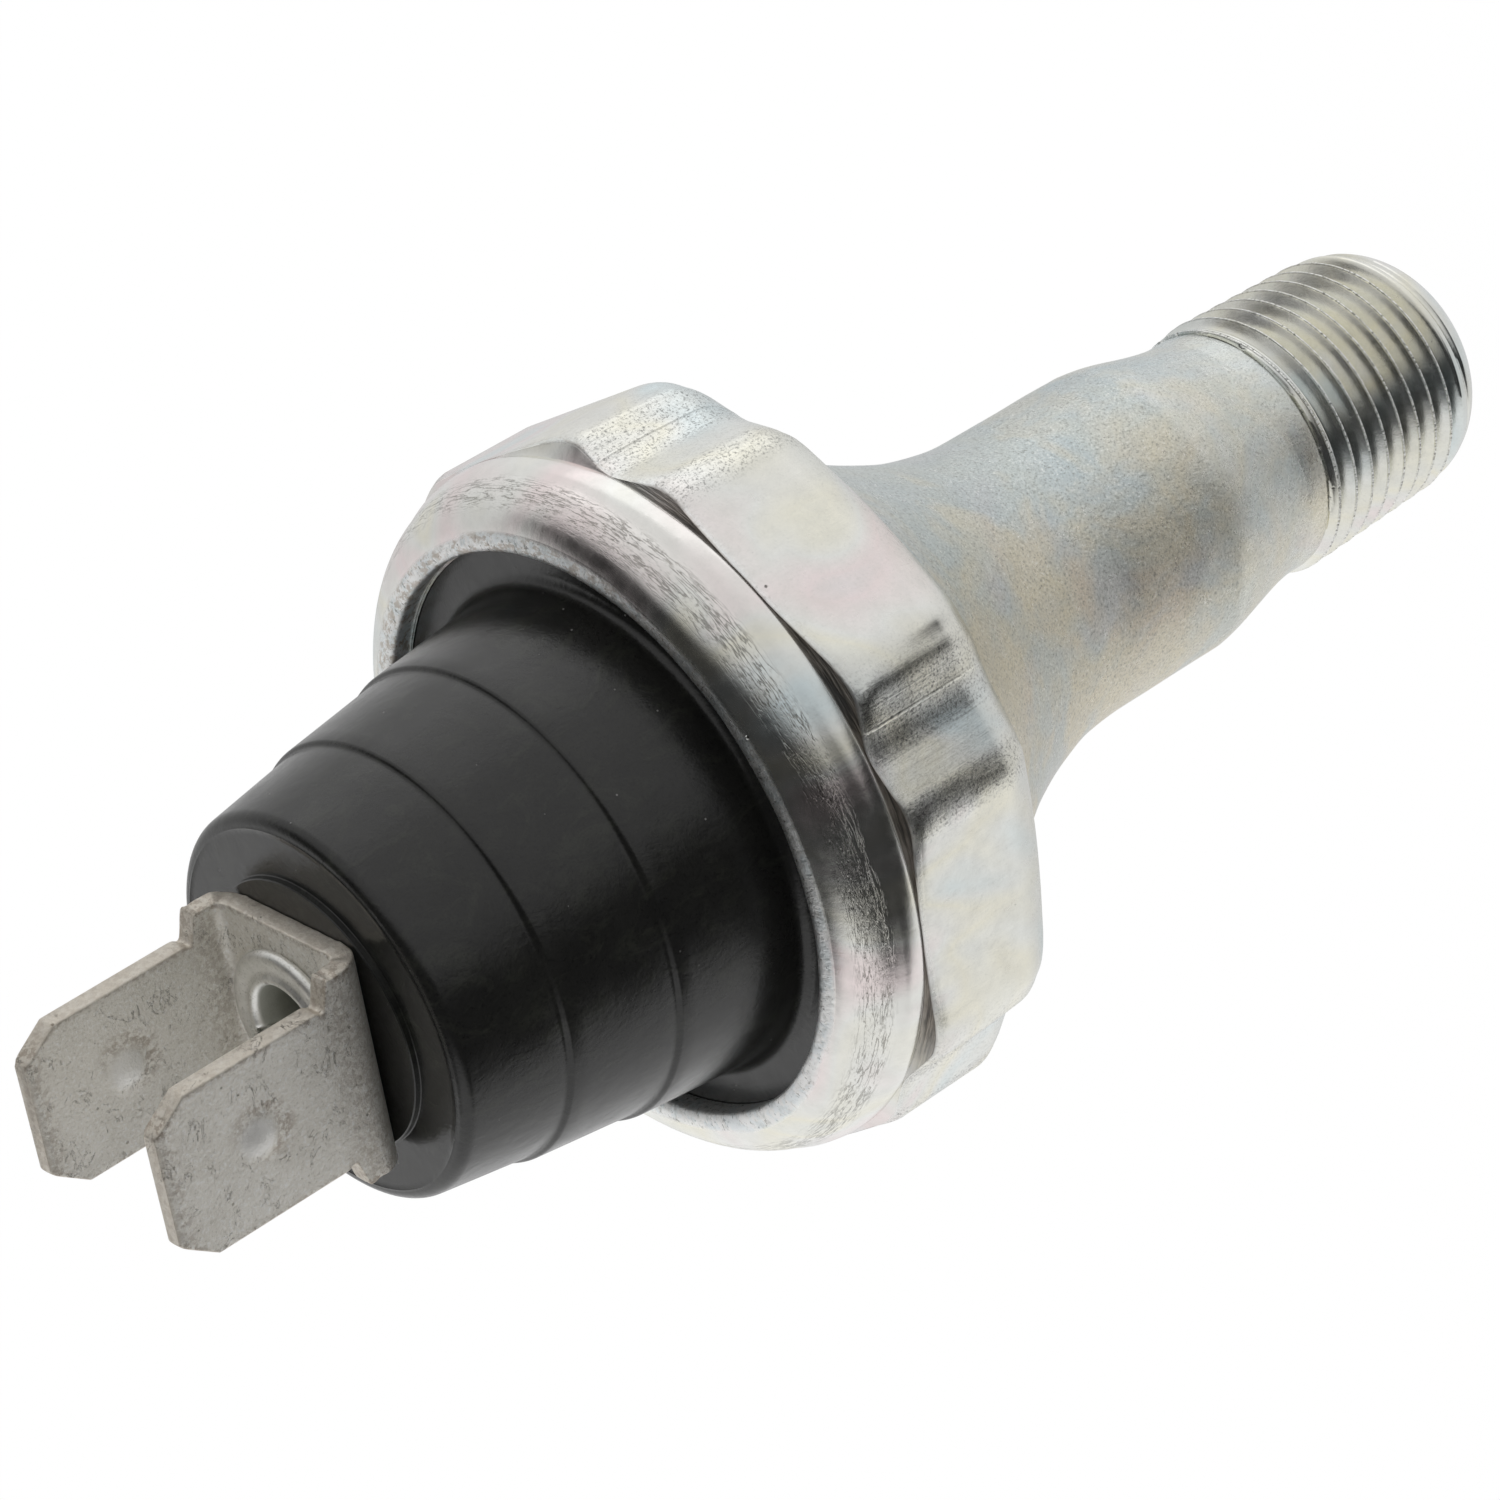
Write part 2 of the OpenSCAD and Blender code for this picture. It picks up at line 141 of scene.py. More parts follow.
# ---------------------------------------------------------------- mesh helpers
def add_object(name, verts, faces, attributes, body, replaces=(), mats=(), smooth_angle=None):
    mesh = bpy.data.meshes.new(name)
    mesh.from_pydata([tuple(v) for v in verts], [], faces)
    mesh.update()
    for key, values in attributes.items():
        layer = mesh.attributes.new(key, "FLOAT", "POINT")
        layer.data.foreach_set("value", np.asarray(values, np.float32))
    bm = bmesh.new()
    bm.from_mesh(mesh)
    bmesh.ops.remove_doubles(bm, verts=bm.verts, dist=1e-6)
    bm.to_mesh(mesh)
    bm.free()
    mesh.polygons.foreach_set("use_smooth", [True] * len(mesh.polygons))
    obj = bpy.data.objects.new(name, mesh)
    bpy.context.scene.collection.objects.link(obj)
    if smooth_angle is not None:
        mesh.set_sharp_from_angle(angle=math.radians(smooth_angle))
    for mat in mats:
        mesh.materials.append(mat)
    if body:
        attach(obj, body)
    if replaces:
        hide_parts(*replaces)
    return obj


class Shells:
    """Collects turned shells, given as rows of points round the axis, into one mesh."""
    def __init__(self, keys):
        self.verts, self.faces = [], []
        self.att = {k: [] for k in keys}

    def add(self, rows, flip=False, shift=0, cap_first=False, cap_last=False, **att):
        # rows: array [rows, round, 3]; shift: rows gained by each turn, for a helix
        rows = np.asarray(rows, float)
        count, turn = rows.shape[:2]
        base = len(self.verts)
        self.verts.extend(rows.reshape(-1, 3) * MM)
        for key in self.att:
            value = att.get(key, 0.0)
            value = np.asarray(value, float)
            if value.ndim == 1:
                value = np.repeat(value[:, None], turn, 1)
            value = np.broadcast_to(value, (count, turn))
            self.att[key].extend(value.reshape(-1))
        for i in range(count - 1):
            for j in range(turn):
                k = (j + 1) % turn
                i0, i1 = i, i + 1
                if k == 0 and shift:
                    i0, i1 = min(count - 1, max(0, i0 + shift)), min(count - 1, max(0, i1 + shift))
                quad = [base + i * turn + j, base + i0 * turn + k, base + i1 * turn + k, base + (i + 1) * turn + j]
                if i0 == i1:
                    quad = [quad[0], quad[1], quad[3]]
                self.faces.append(quad[::-1] if flip else quad)
        if cap_first:
            ring = [base + j for j in range(turn)]
            self.faces.append(ring if flip else ring[::-1])
        if cap_last:
            ring = [base + (count - 1) * turn + j for j in range(turn)]
            self.faces.append(ring[::-1] if flip else ring)


def turn_rows(profile, angles):
    """Rows of points for an outline of (radius, height) turned round the axis."""
    profile = np.asarray(profile, float)
    c, s = np.cos(angles), np.sin(angles)
    r, z = profile[:, :1], profile[:, 1:]
    return np.stack([r * c, r * s, np.broadcast_to(z, (len(profile), len(angles)))], -1)


def arc_pts(centre, radius, a0, a1, count):
    a = np.radians(np.linspace(a0, a1, count))
    return [(centre[0] + radius * math.cos(t), centre[1] + radius * math.sin(t)) for t in a]


def arc_length(profile):
    profile = np.asarray(profile, float)
    step = np.hypot(*np.diff(profile, axis=0).T)
    return np.concatenate([[0.0], np.cumsum(step)])


def resample(profile, step):
    """Adds points so that no stretch of the outline is longer than step."""
    out = [profile[0]]
    for a, b in zip(profile[:-1], profile[1:]):
        length = math.dist(a, b)
        parts = max(1, math.ceil(length / step))
        for i in range(1, parts + 1):
            t = i / parts
            out.append((a[0] + (b[0] - a[0]) * t, a[1] + (b[1] - a[1]) * t))
    return out


def smooth_step(x, lo, hi):
    t = np.clip((np.asarray(x, float) - lo) / (hi - lo), 0, 1)
    return t * t * (3 - 2 * t)


def wave_noise(theta, seed, count=9, low=1):
    """Sum of waves round the axis, about -1 to 1."""
    g = np.random.default_rng(seed)
    total = np.zeros_like(theta)
    for k in range(count):
        total += np.cos((low + k) * theta + g.uniform(0, 2 * math.pi)) * g.uniform(0.4, 1.0) / (1 + 0.25 * k)
    return total / math.sqrt(count)


# ---------------------------------------------------------------- materials
BODY_KEYS = ("arc", "wrinkle", "ragged", "brown", "sand", "flat", "notch", "crest")


def zinc_material():
    mat, n, shader, mm = material("zinc_plating")
    arc, wrinkle, ragged, brown, sand, flat, notch, crest = [n.attribute(k) for k in BODY_KEYS]
    polar = n("ShaderNodeVectorMath", {0: n.scaled(mm, (1, 1, 0))}, operation="NORMALIZE").outputs[0]

    def ring_noise(around, along, detail=3.0, rough=0.6, distort=0.0):
        """Noise with one scale round the axis and another along the outline."""
        sep = n("ShaderNodeSeparateXYZ", {0: n.scaled(polar, (around, around, 0))})
        vec = n("ShaderNodeCombineXYZ", {0: sep.outputs[0], 1: sep.outputs[1], 2: n.math("MULTIPLY", arc, along)})
        return n.noise(vec.outputs[0], 1.0, detail, rough, distort)

    # colour: silver with faint blue, cream and pink zones of the passivation film
    big = n.noise(mm, 0.13, 2.0, 0.5, 0.8)
    ramp = n("ShaderNodeValToRGB", {"Fac": big})
    stops = [(0.32, (0.56, 0.72, 0.79, 1)), (0.42, (0.80, 0.82, 0.79, 1)), (0.50, (0.86, 0.82, 0.64, 1)),
             (0.57, (0.82, 0.82, 0.79, 1)), (0.66, (0.87, 0.68, 0.70, 1)), (0.76, (0.62, 0.75, 0.80, 1))]
    elements = ramp.color_ramp.elements
    elements[0].position, elements[0].color = stops[0]
    elements[1].position, elements[1].color = stops[-1]
    for pos, col in stops[1:-1]:
        elements.new(pos).color = col
    colour = n.mix(0.5, (0.84, 0.84, 0.805, 1), ramp.outputs[0])
    # the drawn stem is duller, with tan and grey-blue clouds
    cloud = n.range(n.noise(mm, 0.28, 3.0, 0.6, 0.5), 0.38, 0.62)
    side = n("ShaderNodeVectorMath", {0: polar, 1: (-0.59, 0.81, 0.0)}, operation="DOT_PRODUCT").outputs["Value"]
    cloud = n.math("SUBTRACT", cloud, n.range(side, -0.2, 0.8, -0.25, 0.65), clamp=True)
    dull = n.mix(cloud, (0.46, 0.535, 0.555, 1), (0.66, 0.59, 0.43, 1))
    colour = n.mix(n.math("MULTIPLY", sand, 0.70), colour, dull)
    mottled = n.noise(mm, 1.1, 4.0, 0.65)
    colour = n.mix(n.range(mottled, 0.40, 0.75, 0.0, 0.30), colour, (0.60, 0.60, 0.56, 1))
    fine = n.noise(mm, 9.0, 4.0, 0.75)
    colour = n.mix(n.math("MULTIPLY", n.range(fine, 0.52, 0.68), n.range(sand, 0, 1, 0.06, 0.80)),
                   colour, (0.24, 0.24, 0.22, 1))
    colour = n.mix(n.math("MULTIPLY", n.range(fine, 0.44, 0.32), n.math("MULTIPLY", sand, 0.7)),
                   colour, (0.95, 0.95, 0.91, 1))
    # few small dark pits
    pit = n.range(n.cells(mm, 0.42), 0.016, 0.034, 1.0, 0.0)
    colour = n.mix(n.math("MULTIPLY", pit, 0.85), colour, (0.08, 0.07, 0.06, 1))
    # draw marks in the notches
    draw = ring_noise(150.0, 0.35, 3.0, 0.7)
    peen = n.noise(mm, 9.0, 4.0, 0.8)
    colour = n.mix(n.math("MULTIPLY", notch, n.range(draw, 0.50, 0.72, 0.0, 0.35)), colour, (0.30, 0.30, 0.28, 1))
    colour = n.mix(n.math("MULTIPLY", notch, n.range(peen, 0.52, 0.62, 0.0, 0.75)), colour, (0.12, 0.12, 0.12, 1))
    colour = n.mix(n.math("MULTIPLY", notch, n.range(peen, 0.40, 0.32, 0.0, 0.4)), colour, (0.92, 0.92, 0.90, 1))
    # sheared lip: white flecks and dark gaps, browner towards the far side
    rag = ring_noise(46.0, 3.2, 5.0, 0.75)
    sheared = n.mix(n.range(rag, 0.38, 0.50), (0.72, 0.73, 0.71, 1), (0.985, 0.99, 0.98, 1))
    gaps = n.range(ring_noise(70.0, 4.0, 3.0, 0.7), 0.59, 0.65)
    sheared = n.mix(n.math("MULTIPLY", gaps, 0.75), sheared, (0.16, 0.15, 0.13, 1))
    blue = n.range(n.noise(mm, 0.9, 3.0, 0.7), 0.50, 0.56)
    sheared = n.mix(n.math("MULTIPLY", blue, 0.3), sheared, (0.68, 0.80, 0.86, 1))
    far_side_brown = n.math("MULTIPLY", n.range(side, 0.1, 0.7), n.range(ring_noise(20.0, 3.5, 4.0, 0.75), 0.50, 0.58))
    sheared = n.mix(n.math("MULTIPLY", far_side_brown, 0.6), sheared, (0.42, 0.34, 0.26, 1))
    colour = n.mix(n.math("MULTIPLY", ragged, 0.92), colour, sheared)
    # painted dark reflection and shade on the near side of the front face, with lines round it
    face_lines = ring_noise(9.0, 11.0, 3.0, 0.6)
    colour = n.mix(n.math("MULTIPLY", brown, 0.9), colour,
                   n.mix(n.range(face_lines, 0.38, 0.62), (0.055, 0.045, 0.038, 1), (0.30, 0.26, 0.22, 1)))
    # fine wrinkles round the crimp's bend
    wr = ring_noise(9.0, 6.5, 3.0, 0.6, 0.12)
    crack = n.range(n.math("ABSOLUTE", n.math("SUBTRACT", wr, 0.5)), 0.010, 0.036, 1.0, 0.0)
    wr_amount = n.math("MULTIPLY", crack, n.math("MULTIPLY", wrinkle, n.range(ring_noise(12.0, 2.0), 0.34, 0.48)))
    colour = n.mix(n.math("MULTIPLY", wr_amount, 0.62), colour, (0.20, 0.19, 0.16, 1))
    gritty = n.math("MULTIPLY", wrinkle, n.range(ring_noise(60.0, 12.0, 3.0, 0.7), 0.52, 0.66))
    colour = n.mix(n.math("MULTIPLY", gritty, 0.35), colour, (0.34, 0.32, 0.28, 1))
    # thread crests get bright flecks, partly torn metal and partly a painted highlight, with dark gaps
    tear = ring_noise(60.0, 5.0, 4.0, 0.75)
    colour = n.mix(n.math("MULTIPLY", crest, n.range(tear, 0.48, 0.54, 0.0, 0.9)), colour, (0.96, 0.96, 0.93, 1))
    colour = n.mix(n.math("MULTIPLY", crest, n.range(tear, 0.46, 0.40, 0.0, 0.85)), colour, (0.20, 0.20, 0.19, 1))

    rough = n.range(n.noise(mm, 1.6, 4.0, 0.6), 0.3, 0.7, 0.15, 0.27)
    rough = n.math("ADD", rough, n.math("MULTIPLY", sand, 0.10))
    rough = n.math("ADD", rough, n.math("MULTIPLY", ragged, 0.18))
    rough = n.math("ADD", rough, n.math("MULTIPLY", brown, 0.25), clamp=True)

    # relief
    grain = n.noise(mm, 7.5, 4.0, 0.8)
    lumps = n.noise(mm, 0.7, 2.0, 0.5)
    brush = ring_noise(60.0, 0.3, 3.0, 0.6)
    height = n.math("MULTIPLY", grain, n.range(sand, 0, 1, 0.003, 0.034))
    height = n.math("ADD", height, n.math("MULTIPLY", lumps, n.range(sand, 0, 1, 0.015, 0.08)))
    height = n.math("ADD", height, n.math("MULTIPLY", brush, n.math("MULTIPLY", flat, 0.006)))
    height = n.math("ADD", height, n.math("MULTIPLY", draw, n.math("MULTIPLY", notch, 0.008)))
    height = n.math("ADD", height, n.math("MULTIPLY", peen, n.math("MULTIPLY", notch, 0.011)))
    height = n.math("SUBTRACT", height, n.math("MULTIPLY", wr_amount, 0.010))
    height = n.math("SUBTRACT", height, n.math("MULTIPLY", gritty, 0.003))
    height = n.math("ADD", height, n.math("MULTIPLY", n.math("MULTIPLY", crest, tear), 0.05))
    height = n.math("SUBTRACT", height, n.math("MULTIPLY", pit, 0.03))
    height = n.math("ADD", height, n.math("MULTIPLY", n.math("MULTIPLY", ragged, rag), 0.045))
    height = n.math("ADD", height, n.math("MULTIPLY", n.math("MULTIPLY", brown, face_lines), 0.08))
    set_inputs(n, shader, color=colour, metal=1.0, rough=rough, normal=n.bump(height, 0.001))
    return mat


def phenolic_material():
    mat, n, shader, mm = material("black_phenolic")
    cloud = n.noise(mm, 0.35, 3.0, 0.6)
    colour = n.mix(n.range(cloud, 0.35, 0.7), (0.018, 0.018, 0.0172, 1), (0.026, 0.026, 0.0235, 1))
    flow = n.noise(n.scaled(mm, (0.8, 0.8, 0.5)), 1.0, 5.0, 0.7, 1.2)
    colour = n.mix(n.range(flow, 0.50, 0.66, 0.0, 0.8), colour, (0.038, 0.040, 0.032, 1))
    mottle = n.noise(mm, 6.0, 4.0, 0.75)
    colour = n.mix(n.range(mottle, 0.50, 0.66, 0.0, 0.5), colour, (0.008, 0.008, 0.008, 1))
    speck = n.range(n.cells(mm, 1.3), 0.035, 0.060, 1.0, 0.0)
    dust = n.math("MULTIPLY", speck, n.range(n.noise(mm, 0.5, 2.0), 0.50, 0.60))
    colour = n.mix(n.math("MULTIPLY", dust, 0.7), colour, (0.42, 0.41, 0.40, 1))
    rough = n.range(n.noise(mm, 0.8, 4.0, 0.65), 0.3, 0.7, 0.17, 0.27)
    rough = n.math("ADD", rough, n.math("MULTIPLY", dust, 0.3))
    lumps = n.noise(mm, 1.1, 3.0, 0.6)
    skin = n.noise(mm, 7.0, 4.0, 0.7)
    height = n.math("ADD", n.math("MULTIPLY", lumps, 0.014), n.math("MULTIPLY", skin, 0.007))
    height = n.math("ADD", height, n.math("MULTIPLY", flow, 0.016))
    set_inputs(n, shader, color=colour, metal=0.0, rough=rough, normal=n.bump(height, 0.001), ior=1.5)
    return mat


def tin_material():
    mat, n, shader, mm = material("dull_tin")
    edge = n.attribute("edge")
    stain = n.attribute("stain")
    cloud = n.noise(mm, 0.5, 4.0, 0.6, 0.4)
    grain = n.noise(mm, 7.0, 4.0, 0.75)
    colour = n.mix(n.range(cloud, 0.3, 0.7), (0.80, 0.77, 0.70, 1), (0.91, 0.885, 0.82, 1))
    colour = n.mix(n.range(grain, 0.52, 0.66, 0.0, 0.9), colour, (0.99, 0.985, 0.96, 1))
    colour = n.mix(n.range(grain, 0.44, 0.32, 0.0, 0.5), colour, (0.36, 0.335, 0.28, 1))
    worn = n.range(n.noise(mm, 2.6, 4.0, 0.7), 0.42, 0.58)
    colour = n.mix(n.math("MULTIPLY", edge, n.range(worn, 0, 1, 0.6, 0.85)), colour, (0.68, 0.62, 0.53, 1))
    # the dimples are painted bright, partly wear and partly a painted highlight; brown stain round them, and a
    # crescent of painted shade inside each
    colour = n.mix(n.math("MULTIPLY", n.attribute("rubbed"), 0.8), colour, (0.97, 0.96, 0.93, 1))
    # brown stain, together with the painted shade of the dimple crescents
    dirt_and_shade = n.math("MULTIPLY", stain, n.range(n.noise(mm, 4.2, 5.0, 0.75), 0.47, 0.55))
    colour = n.mix(n.math("MULTIPLY", dirt_and_shade, 0.8), colour, (0.29, 0.215, 0.155, 1))
    # hairline scratches and stained specks
    vein = n.math("ABSOLUTE", n.math("SUBTRACT", n.noise(n.scaled(mm, (1, 0.5, 0.9)), 1.2, 5.0, 0.7, 1.0), 0.5))
    scratch = n.math("MULTIPLY", n.range(vein, 0.0, 0.010, 1.0, 0.0), n.range(n.noise(mm, 0.9, 2.0), 0.54, 0.60))
    colour = n.mix(n.math("MULTIPLY", scratch, 0.8), colour, (0.16, 0.13, 0.10, 1))
    spots = n.range(n.cells(mm, 1.7), 0.06, 0.12, 1.0, 0.0)
    spots = n.math("MULTIPLY", spots, n.range(n.noise(mm, 0.8, 2.0), 0.50, 0.60))
    colour = n.mix(n.math("MULTIPLY", spots, 0.65), colour, (0.18, 0.15, 0.11, 1))
    rough = n.range(grain, 0.3, 0.7, 0.38, 0.56)
    height = n.math("ADD", n.math("MULTIPLY", grain, 0.030), n.math("MULTIPLY", n.noise(mm, 1.5, 3.0), 0.03))
    height = n.math("SUBTRACT", height, n.math("MULTIPLY", n.math("MAXIMUM", spots, scratch), 0.03))
    set_inputs(n, shader, color=colour, metal=0.62, rough=rough, normal=n.bump(height, 0.001))
    return mat


def metal_material(name, dark, light, rough_lo, rough_hi, scale=1.2, relief=0.01, stretch=(1, 1, 1)):
    mat, n, shader, mm = material(name)
    vec = n.scaled(mm, stretch)
    cloud = n.noise(vec, scale, 4.0, 0.6)
    colour = n.mix(n.range(cloud, 0.3, 0.7), (*dark, 1), (*light, 1))
    rough = n.range(n.noise(vec, scale * 3, 3.0), 0.3, 0.7, rough_lo, rough_hi)
    height = n.math("MULTIPLY", n.noise(vec, scale * 5, 3.0), relief)
    set_inputs(n, shader, color=colour, metal=1.0, rough=rough, normal=n.bump(height, 0.001))
    return mat


def soft_material(name, dark, light, rough_lo, rough_hi, scale=1.0, relief=0.01):
    mat, n, shader, mm = material(name)
    cloud = n.noise(mm, scale, 3.0, 0.6)
    colour = n.mix(n.range(cloud, 0.3, 0.7), (*dark, 1), (*light, 1))
    rough = n.range(n.noise(mm, scale * 2, 3.0), 0.3, 0.7, rough_lo, rough_hi)
    height = n.math("MULTIPLY", n.noise(mm, scale * 6, 3.0), relief)
    set_inputs(n, shader, color=colour, metal=0.0, rough=rough, normal=n.bump(height, 0.001))
    return mat


def rivet_material():
    mat, n, shader, mm = material("bright_tin")
    inside = n.attribute("inside")
    cloud = n.noise(mm, 1.5, 4.0, 0.6)
    grain = n.noise(mm, 9.0, 4.0, 0.75)
    colour = n.mix(n.range(cloud, 0.3, 0.7), (0.72, 0.72, 0.68, 1), (0.94, 0.93, 0.90, 1))
    colour = n.mix(n.range(grain, 0.46, 0.34, 0.0, 0.5), colour, (0.34, 0.33, 0.30, 1))
    colour = n.mix(n.math("MULTIPLY", inside, 0.8), colour, (0.42, 0.43, 0.37, 1))
    rough = n.math("ADD", n.range(cloud, 0.3, 0.7, 0.26, 0.40), n.math("MULTIPLY", inside, 0.3))
    height = n.math("MULTIPLY", grain, 0.012)
    metal = n.range(inside, 0, 1, 0.8, 0.25)
    set_inputs(n, shader, color=colour, metal=metal, rough=rough, normal=n.bump(height, 0.001))
    return mat


zinc = zinc_material()
phenolic = phenolic_material()
tin = tin_material()
rivet_tin = rivet_material()

# ---------------------------------------------------------------- body
THREAD_LEN, PITCH, TAPER, CREST_R = 9.45, 0.9407, 1 / 32, 4.99
PORT_R, NOSE_R, NOSE_ROUND = 2.0, 3.85, 3.0
CREST_Z = 8.28
THREAD_PHASE = math.radians(38)
THREAD_DEPTH = 0.56
FLAT_R, CORNER_AT, HEAD_OFF = 13.55, 26.6, 0.10


def corner_outline():
    """Radius of the hexagon round one corner, -30 to 30 degrees from the notch, worked out from the way
    the wall faces: a flat, a rounded shoulder, a flat-bottomed notch, the other shoulder and the next flat."""
    rel = np.arange(-30, 30.001, 0.05)
    facing = np.interp(rel, [-30, -14.2, -12.6, -9.4, -8.2, -3, -1.4, 0.2, 2.4, 6.4, 7.6, 8.6, 12, 14.8, 30],
                       [-2.5, -2.5, 9, 27, 37, 38, 33, 20, 9, 9, 22, 36, 46, 57.5, 57.5])
    kernel = np.exp(-0.5 * (np.arange(-20, 21) * 0.05 / 0.35) ** 2)
    facing = np.convolve(np.pad(facing, 20, mode="edge"), kernel / kernel.sum(), mode="valid")
    slope = np.tan(np.radians(CORNER_AT + rel - facing))
    radius = np.exp(np.concatenate([[0], np.cumsum((slope[1:] + slope[:-1]) / 2 * math.radians(0.05))]))
    radius *= FLAT_R / math.cos(math.radians(30 - CORNER_AT - 2.5)) / radius[0]
    radius *= np.exp(np.interp(rel, [-14.8, 14.8], [0, math.log(radius[0] / radius[-1])]))
    return rel, radius


def body_shells():
    shells = Shells(BODY_KEYS)

    # nose face, then the helical rows of the thread
    turn = 192
    theta = np.linspace(0, 2 * math.pi, turn, endpoint=False)
    u_steps = np.array([0, .028, .07, .14, .22, .30, .38, .44, .5, .56, .62, .70, .78, .86, .93, .972])
    per = len(u_steps)
    turns = int(math.ceil(THREAD_LEN / PITCH)) + 3
    phase0 = CREST_Z - PITCH * THREAD_PHASE / (2 * math.pi)
    first = math.floor((0 - phase0) / PITCH) - 2
    starts = np.concatenate([(first + k + u_steps) * PITCH + phase0 for k in range(turns + 2)])
    u_all = np.tile(u_steps, turns + 2)
    z = starts[:, None] + PITCH * theta[None, :] / (2 * math.pi)
    z_low = 0.02
    zc = np.clip(z, z_low, THREAD_LEN)
    w = np.abs(((u_all + 0.5) % 1.0) - 0.5)
    depth = np.clip((w - 0.026) / (0.44 - 0.026), 0, 1)
    depth = np.minimum(depth, 0.93 + 0.07 * depth) * THREAD_DEPTH
    depth = np.repeat(depth[:, None], turn, 1)
    depth = depth * (1 - 0.75 * smooth_step(zc, 8.6, 9.3)) * (0.5 + 0.5 * smooth_step(zc, 0.5, 2.3))
    on_crest = (w < 0.03)[:, None] * np.ones_like(zc)
    crest = CREST_R + TAPER * zc - 0.04 * np.abs(wave_noise(theta + 0.9, 11, 50, 12))[None, :] * on_crest
    crest = crest - 0.16 * smooth_step(zc, 8.9, 9.4)
    cone = crest - depth
    nose_c = CREST_R - NOSE_ROUND
    sin_a = math.sqrt(1 - ((NOSE_R - nose_c) / NOSE_ROUND) ** 2)
    zz = np.clip((NOSE_ROUND * sin_a - zc) / NOSE_ROUND, 0, 1)
    nose = np.where(zc < NOSE_ROUND * sin_a, nose_c + NOSE_ROUND * np.sqrt(1 - zz ** 2), 99.0)
    r = np.minimum(cone, nose)
    r = np.where(zc >= THREAD_LEN, 4.90, r)
    rows = np.stack([r * np.cos(theta), r * np.sin(theta), zc], -1)
    shells.add(rows, shift=per, sand=0.05, arc=zc, crest=on_crest * (cone < nose))
    face = [(PORT_R, 0.25), (PORT_R + 0.1, 0.1), (PORT_R + 0.25, 0.0), (3.0, 0.0), (NOSE_R - 0.08, 0.0), (NOSE_R, z_low)]
    shells.add(turn_rows(face, theta), sand=0.4, arc=np.array([p[1] - p[0] for p in face]))

    # neck to lip: the hexagon's outline is a radius by angle
    dense, outline = corner_outline()
    rel = np.concatenate([np.arange(-30, -16, 2.0), np.arange(-16, 16, 0.58), np.arange(16, 30, 2.0), [2.5, 2.7, 2.9]])
    rel = np.unique(np.round(rel, 3))
    ang = (np.arange(6)[:, None] * 60 + CORNER_AT + rel[None, :]).reshape(-1)
    theta = np.radians(ang)
    seam = np.where(np.abs(rel - 2.7) < 0.1, 0.03, 0.0)
    # the drawn-in part of each corner, and its two peened bands
    dip = np.tile(smooth_step(-np.abs(rel), -12.0, -9.5), 6)
    notch = np.tile(np.interp(rel, [-15.5, -13.2, -9.2, -7.8, -2.8, -1, 7.2, 8.6, 13],
                              [0, 1, 1, 0.2, 0.2, 1, 1, 0.3, 0]), 6)
    hex_r = np.tile(np.interp(rel, dense, outline) + seam, 6)
    hex_r = hex_r + 0.018 * wave_noise(theta, 3, 6, 2)
    slot_r = np.maximum(hex_r, FLAT_R + 0.02)

    rows, att = [], {k: [] for k in BODY_KEYS}
    ones = np.ones_like(theta)

    def row(r, z, **values):
        # the head is upset a little off the stem's axis
        r, z = r * ones, z * ones
        off = HEAD_OFF * smooth_step(z, 30.5, 34.0)
        rows.append(np.stack([r * np.cos(theta) - 0.6 * off, r * np.sin(theta) + 0.8 * off, z], -1))
        values.setdefault("arc", z)
        for key in att:
            att[key].append(values.get(key, 0.0) * ones)

    def soft_dent(z, amount):
        return amount * (wave_noise(theta + 0.35 * z, 21, 4, 2) * np.cos(z * 0.9) + wave_noise(theta - 0.2 * z, 22, 4, 3) * np.sin(z * 0.7))

    row(4.90, 9.44, sand=0.3)
    row(5.00, 9.50, sand=0.3)
    for z in np.linspace(9.62, 10.6, 6):
        row(5.02 + 0.01 * wave_noise(theta, 31), z, sand=0.6)
    for u in np.linspace(0, 1, 14):
        z = 10.7 + 4.4 * u
        row(5.02 + 0.88 * (u + u * u * (3 - 2 * u)) / 2 + soft_dent(z, 0.02), z, sand=0.7)
    for z in np.linspace(15.5, 20.4, 11):
        row(5.9 + soft_dent(z, 0.025), z, sand=1.0)
    for u in np.linspace(0, 0.985, 30):
        z = 20.8 + 11.9 * u
        row(5.9 + 5.35 * u ** 1.85 + soft_dent(z, 0.03), z, sand=1.0)
    row(11.30, 32.70, sand=0.8)
    # full rounded rear edge of the hexagon, drawn in a little at the notches
    rear_r = hex_r - 0.10 * dip
    for phi in np.linspace(90, 0, 17):
        c, s = math.cos(math.radians(phi)) ** 1.143, math.sin(math.radians(phi)) ** 1.143
        row(11.5 + (rear_r - 11.5) * c, 35.0 - 2.45 * s, sand=0.45 * s, flat=c, notch=notch * c)
    top = 39.6 - 0.45 * (slot_r - FLAT_R)
    bulge = np.clip((slot_r - FLAT_R) / 0.65, 0, 1)
    for t in np.linspace(0.08, 1, 9):
        row(rear_r + (hex_r - rear_r) * min(1.0, t * 2), 35.0 + (top - 0.55 - 35.0) * t, sand=0.05, flat=1.0, notch=notch)
    row(hex_r - 0.06 * bulge, top - 0.30, sand=0.1, flat=1.0, notch=notch)
    burr = np.maximum(0, wave_noise(theta, 41, 60, 20)) * 0.05
    row(hex_r - 0.17 * bulge, top - 0.08 + burr, sand=0.3, ragged=0.35, notch=notch)
